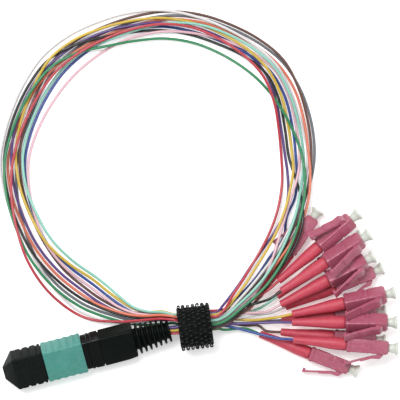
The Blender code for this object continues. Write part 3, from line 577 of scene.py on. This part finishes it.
@dataclass
class SmallConnector:
    """Square single-fibre connector: housing with latch, ferrule, tapered boot and dust cap."""

    width: float = 4.5
    length: float = 13.8
    corner: float = 0.35
    bevel: float = 0.14
    nose_inset: float = 0.84
    nose_length: float = 0.7
    mouth: float = 3.0
    mouth_depth: float = 5.0
    seam_near: float = 5.6
    seam_far: float = 6.4
    seam_slope: float = 0.15
    collar: float = 4.9
    collar_length: float = 1.3
    collar_corner: float = 0.8
    collar_slope: float = 0.35
    collar_chamfer: float = 0.6
    recess: float = 3.6
    recess_depth: float = 1.0
    panel_proud: float = 0.12
    side_panel: tuple[float, float, float] = (0.9, 7.2, 12.0)
    base_panel: tuple[float, float, float] = (1.3, 7.6, 11.6)
    latch_width: float = 3.0
    latch_sunk: float = 0.4
    latch_foot: float = 1.6
    latch_start: float = 5.0
    latch_knee: float = 0.42
    latch_step: float = 0.35
    latch_end: float = 14.2
    latch_root: float = 1.6
    latch_lift: float = 3.2
    latch_lift_pressed: float = 0.5
    latch_thickness: float = 0.9
    latch_pad: float = 0.7
    boot_length: float = 17.3
    boot_wide: float = 4.3
    boot_narrow: float = 2.4
    boot_swell: float = 0.10
    boot_swell_at: float = 0.24
    boot_swell_width: float = 0.12
    boot_rings: int = 22
    stub_radius: float = 1.7
    stub_reach: float = 0.85
    tail_bore: float = 0.8
    tail_depth: float = 1.5
    gap: float = 0.3
    cap_out: float = 3.2
    cap_flange: float = 4.4
    cap_stem: float = 2.6
    cap_depth: float = 4.0
    cap_bore: float = 0.7
    ferrule_radius: float = 0.6
    steps: int = 32

    def frame(self, seat: Seat) -> Matrix:
        """Give the frame at the front of a connector's axis."""
        reach = self.length + self.gap + self.boot_length
        pitch = math.degrees(math.asin((seat.high - seat.low) / reach))
        return axis_frame(plan(*seat.front, seat.high), seat.heading, pitch, seat.roll)

    def latch_outline(self, lift: float) -> list[tuple[float, float]]:
        """Give the latch's side view as (height above the axis, place along it)."""
        top = self.width / 2
        root = top + self.latch_root
        start, end = -self.latch_start, -self.latch_end
        knee = start + self.latch_knee * (end - start)
        rise = lift * self.latch_knee
        tip = root + lift - self.latch_step
        under = self.latch_thickness + 0.1
        pad = self.latch_thickness + self.latch_pad
        return [
            (top - self.latch_sunk, -self.latch_foot), (top + self.latch_step, -self.latch_foot),
            (root - 0.25, -self.latch_foot - 0.85), (root, -self.latch_foot - 1.3),
            (root, start), (root + rise, knee), (root + rise - self.latch_step, knee - 0.01),
            (tip, end), (tip - pad, end), (tip - pad, end + 0.8), (tip - under, end + 0.9),
            (root - under, start), (top + 0.45, start + 1.2), (top - self.latch_sunk, start + 1.3),
        ]

    def housing(self, lift: float) -> Callable[[bmesh.types.BMesh], None]:
        """Give the builder of a housing whose latch stands at a lift."""
        def build(shape: bmesh.types.BMesh) -> None:
            """Square body with a seam, chamfered nose, rear collar, proud panels, latch and ferrule mouth."""
            side, corner, length = self.width, self.corner, self.length
            nose, groove = side - self.nose_inset, side - 2 * self.seam_slope
            back, rear = self.collar_length - length, self.collar - self.collar_chamfer
            loft(shape, [rounded_ring(size, size, bend, z) for size, bend, z in (
                (self.mouth, self.mouth / 2, -self.mouth_depth), (self.mouth, self.mouth / 2, 0.0),
                (nose, corner, 0.0), (side, corner, -self.nose_length), (side, corner, -self.seam_near),
                (groove, corner, -self.seam_near - self.seam_slope),
                (groove, corner, self.seam_slope - self.seam_far),
                (side, corner, -self.seam_far), (side, corner, back),
                (self.collar, self.collar_corner, back - 0.02),
                (self.collar, self.collar_corner, self.collar_slope - length),
                (rear, self.collar_corner, -length), (self.recess, self.recess / 2, -length),
                (self.recess, self.recess / 2, self.recess_depth - length),
            )])
            extrude_outline(shape, self.latch_outline(lift), self.latch_width)
            top, proud = side / 2, self.panel_proud
            half, near, far = self.side_panel
            for face in (-top, top):
                add_box(shape, (face - proud, -half, -far), (face + proud, half, -near))
            half, near, far = self.base_panel
            add_box(shape, (-half, -top - proud, -far), (half, -top + proud, -near))
        return build

    def boot(self, shape: bmesh.types.BMesh) -> None:
        """Tapered boot: a straight shoulder, a slight swell, then a long slim cone to its tail."""
        wide, narrow, length = self.boot_wide / 2, self.boot_narrow / 2, self.boot_length
        stub, bore = self.stub_radius, self.tail_bore
        profile = [
            (0.0, self.stub_reach), (stub, self.stub_reach), (stub, 0.2),
            (wide - 0.25, 0.2), (wide - 0.05, 0.08), (wide, -0.15),
        ]
        for share in np.linspace(0.08, 0.95, self.boot_rings):
            ease = share * share * (3.0 - 2.0 * share)
            off = (share - self.boot_swell_at) / self.boot_swell_width
            swell = self.boot_swell * math.exp(-off ** 2)
            narrowed = (narrow - wide) * (0.35 * share + 0.65 * ease)
            profile.append((wide + narrowed + swell, -length * share))
        profile += [(narrow, -length * 0.985), (narrow - 0.08, -length), (bore, -length)]
        profile += [(bore, self.tail_depth - length), (0.0, self.tail_depth - length)]
        lathe(shape, profile, self.steps)

    def cap(self, shape: bmesh.types.BMesh) -> None:
        """Dust cap: stem, flared collar, hollow front."""
        stem, flange, out = self.cap_stem / 2, self.cap_flange / 2, self.cap_out
        bore, deep = self.cap_bore, self.cap_depth
        lathe(shape, [
            (0.0, out - 1.4), (0.55, out - 1.35), (0.75, out - 0.2), (0.95, out), (flange - 0.5, out),
            (flange - 0.1, out - 0.1), (flange, out - 0.25), (flange, out - 0.65), (flange - 0.1, out - 0.8),
            (flange - 0.4, out - 1.1), (stem + 0.3, out * 0.46), (stem + 0.14, 0.9), (stem + 0.1, 0.35),
            (stem, 0.25), (stem, 0.4 - deep), (stem - 0.2, -deep), (bore, -deep), (bore, 0.2), (0.0, 0.2),
        ], self.steps)

    def ferrule(self, shape: bmesh.types.BMesh) -> None:
        """Ceramic ferrule inside the housing, behind the cap."""
        radius, deep = self.ferrule_radius, 0.1 - self.mouth_depth
        profile = [(0.0, -0.2), (radius - 0.1, -0.2), (radius, -0.35), (radius, deep), (0.0, deep)]
        lathe(shape, profile, self.steps)

    def build_all(self) -> None:
        """Build the twelve connectors."""
        lifts = {False: ("free", self.latch_lift), True: ("pressed", self.latch_lift_pressed)}
        designs = {
            pressed: Piece(f"housing_{name}", self.housing(lift), Palette.HOUSING, self.bevel)
            for pressed, (name, lift) in lifts.items()
        }
        housings = {pressed: design.mesh() for pressed, design in designs.items()}
        boot = Piece("boot", self.boot, Palette.BOOT, sharp_angle=50.0)
        cap = Piece("cap", self.cap, Palette.CAP, sharp_angle=60.0)
        ferrule = Piece("ferrule", self.ferrule, Palette.CERAMIC)
        boot_mesh, cap_mesh, ferrule_mesh = boot.mesh(), cap.mesh(), ferrule.mesh()
        for seat in SEATS:
            frame = self.frame(seat)
            tail = frame @ Matrix.Translation((0.0, 0.0, -(self.length + self.gap) * MM))
            tag = seat.letter
            designs[seat.pressed].put(
                f"housing_{tag}", housings[seat.pressed], frame, "cable", [f"lc_housing_{tag}"],
                "housing_magenta",
            )
            boot.put(f"boot_{tag}", boot_mesh, tail, "cable", [f"lc_boot_{tag}"], "boot_pink_red")
            cap.put(f"cap_{tag}", cap_mesh, frame, f"cap_{tag}", [f"lc_cap_{tag}"], "cap_milky")
            ferrule.put(f"ferrule_{tag}", ferrule_mesh, frame, "cable", [], "cap_milky")


# The flat plug


# One fin of the plug's boot, as shares of the fin's depth and of the pitch
FIN = (
    (0.12, 0.0), (0.0, 0.08), (0.0, 0.34), (0.12, 0.42), (0.75, 0.5), (0.97, 0.62), (1.0, 0.8), (0.9, 0.93),
)


@dataclass
class FlatPlug:
    """Flat multi-fibre plug: ribbed boot, rear shell, coupling sleeve and dust cap."""

    tail: tuple[float, float] = (-9.9, -42.7)
    heading: float = 194.5
    roll: float = 30.0
    width: float = 11.8
    height: float = 7.2
    sleeve_length: float = 13.2
    wall: float = 1.1
    rear_length: float = 5.8
    rear_width: float = 10.9
    rear_height: float = 6.3
    travel: float = 1.5
    rib_length: float = 12.0
    ribs: int = 7
    rib_corner: float = 2.8
    fin_depth: float = 2.6
    core: float = 4.9
    tail_bore: float = 6.0
    tail_depth: float = 0.9
    wave_pitch: float = 2.5
    wave_depth: float = 0.55
    line_pitch: float = 0.85
    line_depth: float = 0.16
    plain_end: float = 0.9
    sleeve_rings: int = 100
    cap_rings: int = 70
    grip_depth: tuple[float, float] = (0.95, 0.12)
    rib_start: tuple[float, float] = (10.2, 7.6)
    rib_end: tuple[float, float] = (7.0, 6.9)
    body_length: float = 11.1
    body_width: float = 10.9
    body_height: float = 6.6
    cap_length: float = 13.5
    cap_smaller: float = 0.2
    cap_slope: float = 3.7
    cap_ridge: float = 4.6
    cap_bore: tuple[float, float] = (8.2, 5.2)
    cap_depth: float = 9.5
    nose: tuple[float, float] = (7.6, 4.6)
    nose_length: float = 8.0
    corner: float = 0.7
    inner_corner: float = 0.6
    stem_play: float = 0.3
    collar_play: float = 0.2
    gap: float = 0.3
    sleeve_from: float = field(init=False)

    def __post_init__(self) -> None:
        """Work out where the sleeve starts."""
        self.sleeve_from = self.rib_length + self.body_length + self.gap + self.rear_length

    def frame(self) -> Matrix:
        """Give the plug's frame at its boot's tail, +Z towards the cap."""
        half = self.width / 2 * math.sin(math.radians(self.roll))
        rise = half + self.height / 2 * math.cos(math.radians(self.roll))
        return axis_frame(plan(*self.tail, rise), self.heading, 0.0, -self.roll)

    def boot(self, shape: bmesh.types.BMesh) -> None:
        """Ribbed strain relief and the smooth shell in front of it."""
        bore = self.tail_bore
        rows = [(bore - 0.1, bore - 0.1, bore / 2, self.tail_depth), (bore, bore, bore / 2, 0.0)]
        pitch = self.rib_length / self.ribs
        for rib in range(self.ribs):
            share = (rib + 0.5) / self.ribs
            wide, high = (a + (b - a) * share for a, b in zip(self.rib_end, self.rib_start))
            deep = min(self.fin_depth, high - self.core)
            for depth, place in FIN:
                inset = depth * deep
                rows.append((wide - inset, high - inset, self.rib_corner, (rib + place) * pitch))
        start, end = self.rib_length, self.rib_length + self.body_length
        wide, high = self.body_width, self.body_height
        rows += [
            (wide - 0.5, high - 0.5, 1.6, start), (wide, high, 1.6, start + 0.3),
            (wide, high, 0.9, start + 3.0), (wide, high, 0.8, end - 0.2),
            (wide - 0.3, high - 0.3, 0.8, end),
        ]
        stack(shape, rows)

    def shell(self, shape: bmesh.types.BMesh) -> None:
        """Plug body: rear shell, stem inside the sleeve with a collar at each end, nose inside the cap."""
        start = self.rib_length + self.body_length + self.gap
        front, end = self.sleeve_from, self.sleeve_from + self.sleeve_length
        step = front - self.travel - self.gap
        wide, high, corner, inner = self.rear_width, self.rear_height, self.corner, self.inner_corner
        slim, groove = (wide - 0.9, high - 0.9), (wide - 0.35, high - 0.25)
        hollow = 2 * (self.wall + self.stem_play)
        stem = (self.width - hollow, self.height - hollow)
        around = self.wall + self.collar_play
        collar = (self.width - around, self.height - around)
        stack(shape, [
            (*slim, corner, start - 0.9), (*slim, corner, start), (wide - 0.3, high - 0.3, corner, start),
            (wide, high, corner, start + 0.2), (wide, high, corner, step - 1.5),
            (*groove, corner, step - 1.3), (*groove, corner, step - 0.9),
            (wide, high, corner, step - 0.7), (wide, high, corner, step - 0.2),
            (wide - 0.4, high - 0.4, corner, step),
            (*collar, inner, step + 0.05), (*collar, inner, front - 0.1),
            (*stem, inner, front), (*stem, inner, end),
            (*collar, inner, end + 0.05), (*collar, inner, end + self.gap - 0.05),
            (*self.nose, inner, end + self.gap), (*self.nose, inner, end + self.gap + self.nose_length),
        ])

    def sleeve(self, shape: bmesh.types.BMesh) -> None:
        """Coupling sleeve: a shell with waved and finely lined narrow edges, and a wider rear mouth."""
        start, end = self.sleeve_from, self.sleeve_from + self.sleeve_length
        wide, high, corner = self.width, self.height, self.corner
        bore = (wide - 2 * self.wall, high - 2 * self.wall)
        mouth = (wide - self.wall, high - self.wall)
        deep = start + self.travel + self.gap
        rows = [(*bore, 0.5, end), (wide - 0.5, high - 0.5, corner, end)]
        rows += [
            (wide - self.wave(place - start), high, corner, place)
            for place in map(float, np.linspace(end - 0.35, start + 0.35, self.sleeve_rings))
        ]
        rows += [
            (wide - 0.4, high - 0.4, corner, start), (*mouth, self.inner_corner, start),
            (*mouth, self.inner_corner, deep), (*bore, 0.5, deep + 0.1),
        ]
        stack(shape, rows, closed_ends=False)

    def wave(self, along: float) -> float:
        """Give how much narrower the sleeve is where its edges dip.

        Args:
            along: Distance from the sleeve's rear end.

        Returns:
            The narrowing in millimetres: a broad wave and a fine line on top of it.
        """
        inset = min(along, self.sleeve_length - along)
        fade = min(max(inset - self.plain_end, 0.0), 1.0)
        broad = 0.5 - 0.5 * math.cos(2 * math.pi * along / self.wave_pitch)
        fine = 0.5 - 0.5 * math.cos(2 * math.pi * along / self.line_pitch)
        return fade * (self.wave_depth * broad + self.line_depth * fine ** 3)

    def cap(self, shape: bmesh.types.BMesh) -> None:
        """Dust cap with a hipped end and grip recesses on its wide faces."""
        start = self.sleeve_from + self.sleeve_length + self.gap
        end = start + self.cap_length
        shoulder = end - self.cap_slope
        wide, high = self.width - self.cap_smaller, self.height - self.cap_smaller
        inner, (across, over) = self.inner_corner, self.grip_depth
        grips = []
        for place in map(float, np.linspace(start + 0.3, shoulder - 0.4, self.cap_rings)):
            dip = max(math.cos(2 * math.pi * ((place - start) / self.wave_pitch - 0.5)), 0.0) ** 1.5
            dip *= min(max(shoulder - self.plain_end - place, 0.0), 1.0)
            grips.append((wide - across * dip, high - over * dip, inner, place))
        stack(shape, [
            (*self.cap_bore, 0.5, start + self.cap_depth), (*self.cap_bore, 0.5, start),
            (wide - 0.4, high - 0.4, self.corner, start), *grips, (wide, high, inner, shoulder),
            (self.cap_ridge + 0.6, 1.5, 0.4, end - 0.35), (self.cap_ridge, 0.8, 0.3, end),
        ])

    def build_all(self, nodes: dict[str, bpy.types.Object]) -> None:
        """Build the plug's pieces, and give the CAD ferrule inside them its finish.

        Args:
            nodes: The CAD nodes by name.
        """
        for place in nodes["mpo_ferrule"].material_slots:
            place.material = Palette.FERRULE.material()
        frame = self.frame()
        rows = (
            (Piece("plug_boot", self.boot, Palette.PLUG_BOOT, 0.08), "cable", "mpo_boot", "boot_black"),
            (
                Piece("plug_shell", self.shell, Palette.PLUG_BLACK, 0.1),
                "cable", "mpo_plug_body", "plug_black",
            ),
            (
                Piece("plug_sleeve", self.sleeve, Palette.SLEEVE, 0.12),
                "sleeve", "mpo_coupling_sleeve", "sleeve_aqua",
            ),
            (
                Piece("plug_cap", self.cap, Palette.CAP_BLACK, 0.15),
                "plug_cap", "mpo_dust_cap", "plug_black",
            ),
        )
        for piece, body, node, slot in rows:
            piece.put(piece.name, piece.mesh(), frame, body, [node], slot)


# The strap


@dataclass
class Strap:
    """Hook-and-loop tape wound round the bundle, with its curled hooks outwards."""

    middle: tuple[float, float] = (-1.6, -41.6)
    heading: float = 7.5
    width: float = 10.9
    bore: float = 7.8
    shift: float = 1.35
    drop: float = 1.2
    start: float = 6.0
    layer: float = 0.7
    hook_height: float = 1.0
    rows: int = 7
    around: int = 26
    turns: int = 96
    edge: float = 0.3
    edge_inset: float = 0.12
    bare: float = 1.5
    wire: float = 0.2
    wire_end: float = 0.7
    wire_sides: int = 6
    straight: float = 0.4
    stand: float = 0.52
    curl: float = 0.42
    bends: int = 6
    bend_step: float = 42.0
    turn_jitter: float = 0.2
    place_jitter: float = 0.15
    lean_jitter: float = 0.55
    seed: int = 12

    def frame(self) -> Matrix:
        """Give the strap's frame at its middle, +Z towards the connectors."""
        radius = self.start + self.layer + self.hook_height
        return axis_frame(plan(*self.middle, radius), self.heading, 0.0, 0.0)

    def outer(self, turn: float) -> float:
        """Give the tape's outer radius at a share of its last turn."""
        return self.start + self.layer * (turn % 1.0)

    def tape(self, shape: bmesh.types.BMesh) -> None:
        """The wound tape: outer spiral, step where it ends, and the bundle's hole."""
        def ring(radii: Sequence[float], right: float, down: float, z: float) -> list[Point]:
            """Give a ring of varying radius round a point off the axis."""
            steps = [2 * math.pi * i / self.turns for i in range(self.turns)]
            return [
                (radius * math.cos(step) + right, radius * math.sin(step) - down, z)
                for radius, step in zip(radii, steps)
            ]

        half, radii = self.width / 2, [self.outer(i / self.turns) for i in range(self.turns)]
        edges = (
            (-half, self.edge_inset), (self.edge - half, 0.0),
            (half - self.edge, 0.0), (half, self.edge_inset),
        )
        rings = [ring([radius - inset for radius in radii], 0.0, 0.0, z) for z, inset in edges]
        rings += [ring([self.bore / 2] * self.turns, self.shift, self.drop, z) for z in (half, -half)]
        loft(shape, rings, closed_ends=False)

    def hook(self, shape: bmesh.types.BMesh, turn: float, z: float, lean: float) -> None:
        """One curled hook: a thin bent wire that stands on the tape and curls over.

        Args:
            shape: The mesh being edited.
            turn: Share of a turn where it stands.
            z: Place along the strap.
            lean: The way it curls, in radians from the strap's axis.
        """
        base = self.outer(turn) - 0.05
        angle = 2 * math.pi * turn
        out = Vector((math.cos(angle), math.sin(angle), 0.0))
        round_it = Vector((-math.sin(angle), math.cos(angle), 0.0))
        along = Vector((0.0, 0.0, 1.0)) * math.cos(lean) + round_it * math.sin(lean)
        high, curl, sides = self.hook_height, self.hook_height * self.curl, self.wire_sides
        path = [out * base, out * (base + high * self.straight)]
        for step in range(self.bends):
            bend = math.radians(180 - self.bend_step * step)
            path.append(
                out * (base + high * self.stand + curl * math.sin(bend))
                + along * (curl + curl * math.cos(bend)),
            )
        up = out.cross(along)
        rows = []
        for i, point in enumerate(path):
            ahead = (path[min(i + 1, len(path) - 1)] - path[max(i - 1, 0)]).normalized()
            flat = ahead.cross(up).normalized()
            thin = self.wire * (1.0 if i < len(path) - 1 else self.wire_end)
            centre = point + Vector((0.0, 0.0, z))
            rows.append([
                shape.verts.new(centre + (flat * math.cos(bend) + up * math.sin(bend)) * thin)
                for bend in (2 * math.pi * k / sides for k in range(sides))
            ])
        for below, above in zip(rows, rows[1:]):
            for k in range(sides):
                shape.faces.new((below[k], below[(k + 1) % sides], above[(k + 1) % sides], above[k]))
        shape.faces.new(rows[0])
        shape.faces.new(rows[-1])

    def hooks(self, shape: bmesh.types.BMesh) -> None:
        """All the hooks, row by row, unevenly bent as on used tape."""
        chance = np.random.default_rng(self.seed)
        for row in range(self.rows):
            z = self.edge - self.width / 2 + row * (self.width - self.bare) / (self.rows - 1)
            for i in range(self.around):
                shift = chance.uniform(-self.turn_jitter, self.turn_jitter)
                place = z + chance.uniform(-self.place_jitter, self.place_jitter)
                lean = chance.uniform(-self.lean_jitter, self.lean_jitter)
                self.hook(shape, (i + 0.5 * (row % 2) + shift) / self.around, place, lean)

    def build_all(self) -> None:
        """Build the strap's tape and hooks."""
        frame = self.frame()
        tape = Piece("strap_tape", self.tape, Palette.TAPE)
        tape.put("strap_tape", tape.mesh(), frame, "cable", ["strap"], "strap_black")
        hooks = Piece("strap_hooks", self.hooks, Palette.HOOKS, sharp_angle=80.0)
        hooks.put("strap_hooks", hooks.mesh(), frame, "cable", [], "strap_black")


# The fibres


@dataclass
class FibreBundle:
    """Twelve tight-buffered fibres along the routes of their CAD tubes."""

    diameter: float = 0.9
    sides: int = 8
    between: int = 6

    def route(self, obj: bpy.types.Object, start: Vector) -> np.ndarray:
        """Find a tube's centre line from the rings of its CAD mesh.

        Args:
            obj: The CAD node.
            start: A point near its first end.

        Returns:
            The rings' middles in metres, from the first end to the last.
        """
        mesh = obj.data
        keys: dict[tuple[int, ...], int] = {}
        index = [
            keys.setdefault(tuple(round(c * 1e6) for c in v.co), len(keys)) for v in mesh.vertices
        ]
        place = np.zeros((len(keys), 3))
        for vertex, key in zip(mesh.vertices, index):
            place[key] = vertex.co
        joined: list[set[int]] = [set() for _ in keys]
        for edge in mesh.edges:
            a, b = index[edge.vertices[0]], index[edge.vertices[1]]
            joined[a].add(b)
            joined[b].add(a)
        first = int(np.linalg.norm(place - np.array(start), axis=1).argmin())
        seen = {first}
        front = [first]
        while front:
            last = front[0]
            front = sorted({k for j in front for k in joined[j]} - seen)
            seen |= set(front)
        ring = list(np.argsort(np.linalg.norm(place - place[last], axis=1))[: self.sides])
        done = set(ring)
        middles = []
        while ring:
            middles.append(place[ring].mean(axis=0))
            ring = sorted({k for j in ring for k in joined[j]} - done)
            done |= set(ring)
        return np.array(middles[::-1])

    def smoothed(self, points: np.ndarray) -> np.ndarray:
        """Give a smooth line through points, with extra points between each two, none under the floor."""
        padded = np.vstack([2 * points[0] - points[1], points, 2 * points[-1] - points[-2]])
        gaps = np.linalg.norm(np.diff(padded, axis=0), axis=1) ** 0.5
        knots = np.concatenate([[0.0], np.cumsum(gaps)])
        line = []
        for k in range(1, len(padded) - 2):
            at = np.linspace(knots[k], knots[k + 1], self.between, endpoint=False)[:, None]
            rows, when = list(padded[k - 1:k + 3]), knots[k - 1:k + 3]
            for spans in (((0, 1), (1, 2), (2, 3)), ((0, 2), (1, 3)), ((1, 2),)):
                rows = [
                    (when[b] - at) / (when[b] - when[a]) * rows[i]
                    + (at - when[a]) / (when[b] - when[a]) * rows[i + 1]
                    for i, (a, b) in enumerate(spans)
                ]
            line.append(rows[0])
        smooth = np.vstack([*line, points[-1:]])
        smooth[:, 2] = np.maximum(smooth[:, 2], self.diameter / 2 * MM)
        return smooth

    def build_all(self, nodes: dict[str, bpy.types.Object], plug: FlatPlug) -> None:
        """Lay the twelve fibres.

        Args:
            nodes: The CAD nodes by name.
            plug: The flat plug, where they start.
        """
        begin = plug.frame().translation
        for seat in SEATS:
            fibre = seat.fibre
            line = self.smoothed(self.route(nodes[fibre.node], begin))
            curve = bpy.data.curves.new(fibre.node + "_line", "CURVE")
            curve.dimensions = "3D"
            curve.bevel_depth = self.diameter / 2 * MM
            curve.bevel_resolution = 4
            curve.use_fill_caps = True
            spline = curve.splines.new("POLY")
            spline.points.add(len(line) - 1)
            for point, place in zip(spline.points, line):
                point.co = (*place, 1.0)
            spline.use_smooth = True
            curve.materials.append(fibre.material())
            obj = bpy.data.objects.new(fibre.node + "_line", curve)
            bpy.context.scene.collection.objects.link(obj)
            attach(obj, "cable")
            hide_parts(fibre.node)


# Camera, floor and light


@dataclass
class Studio:
    """Pale floor, soft light and a camera straight above, as in the photograph."""

    frame_width: float = 0.1316
    centre: tuple[float, float] = (-0.000161, 0.032188)
    camera_height: float = 2.0
    view_end: float = 10.0
    floor_size: float = 1.5
    floor_grey: float = 0.97
    floor_roughness: float = 0.9
    floor_glow: float = 0.35
    sky: float = 0.42
    aim: Point = (0.0, 0.03, 0.0)
    lamps: tuple[tuple[str, Point, float, float], ...] = (
        ("key", (-0.35, 0.45, 1.2), 0.6, 14.0),
        ("fill", (0.8, 0.1, 0.9), 1.2, 4.0),
    )

    def floor(self) -> None:
        """Lay the plain pale floor."""
        shape = bmesh.new()
        bmesh.ops.create_grid(shape, x_segments=1, y_segments=1, size=self.floor_size)
        mesh = bpy.data.meshes.new("floor")
        shape.to_mesh(mesh)
        shape.free()
        finish = bpy.data.materials.new("floor_white")
        finish.use_nodes = True
        shader = finish.node_tree.nodes["Principled BSDF"]
        shader.inputs["Base Color"].default_value = (*[self.floor_grey] * 3, 1.0)
        shader.inputs["Roughness"].default_value = self.floor_roughness
        shader.inputs["Emission Color"].default_value = WHITE
        shader.inputs["Emission Strength"].default_value = self.floor_glow
        mesh.materials.append(finish)
        obj = bpy.data.objects.new("floor", mesh)
        bpy.context.scene.collection.objects.link(obj)

    def lamp(self, name: str, place: Point, size: float, power: float) -> None:
        """Hang one square area light that looks at the cable.

        Args:
            name: Its name.
            place: Where it hangs, in metres.
            size: Its side in metres.
            power: Its power in watts.
        """
        data = bpy.data.lights.new(name, "AREA")
        data.size = size
        data.energy = power
        obj = bpy.data.objects.new(name, data)
        obj.location = place
        obj.rotation_euler = (Vector(self.aim) - Vector(place)).to_track_quat("-Z", "Y").to_euler()
        bpy.context.scene.collection.objects.link(obj)

    def camera(self) -> None:
        """Set the camera straight above the middle of the photograph's frame."""
        data = bpy.data.cameras.new("camera")
        data.sensor_fit = "HORIZONTAL"
        data.lens = data.sensor_width * self.camera_height / self.frame_width
        data.clip_end = self.view_end
        obj = bpy.data.objects.new("camera", data)
        obj.location = (*self.centre, self.camera_height)
        bpy.context.scene.collection.objects.link(obj)
        bpy.context.scene.camera = obj

    def build_all(self) -> None:
        """Build the stage."""
        self.floor()
        for row in self.lamps:
            self.lamp(*row)
        self.camera()
        world = bpy.data.worlds.new("pale")
        world.use_nodes = True
        sky = world.node_tree.nodes["Background"]
        sky.inputs["Color"].default_value = WHITE
        sky.inputs["Strength"].default_value = self.sky
        bpy.context.scene.world = world
        bpy.context.scene.view_settings.view_transform = "Standard"


def main() -> None:
    """Build the looks."""
    logging.basicConfig(level=logging.INFO, format="%(name)s %(message)s")
    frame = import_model()
    Studio().build_all()
    plug = FlatPlug()
    SmallConnector().build_all()
    plug.build_all(frame["nodes"])
    Strap().build_all()
    FibreBundle().build_all(frame["nodes"], plug)
    bpy.context.view_layer.update()


if __name__ == "__main__":
    main()
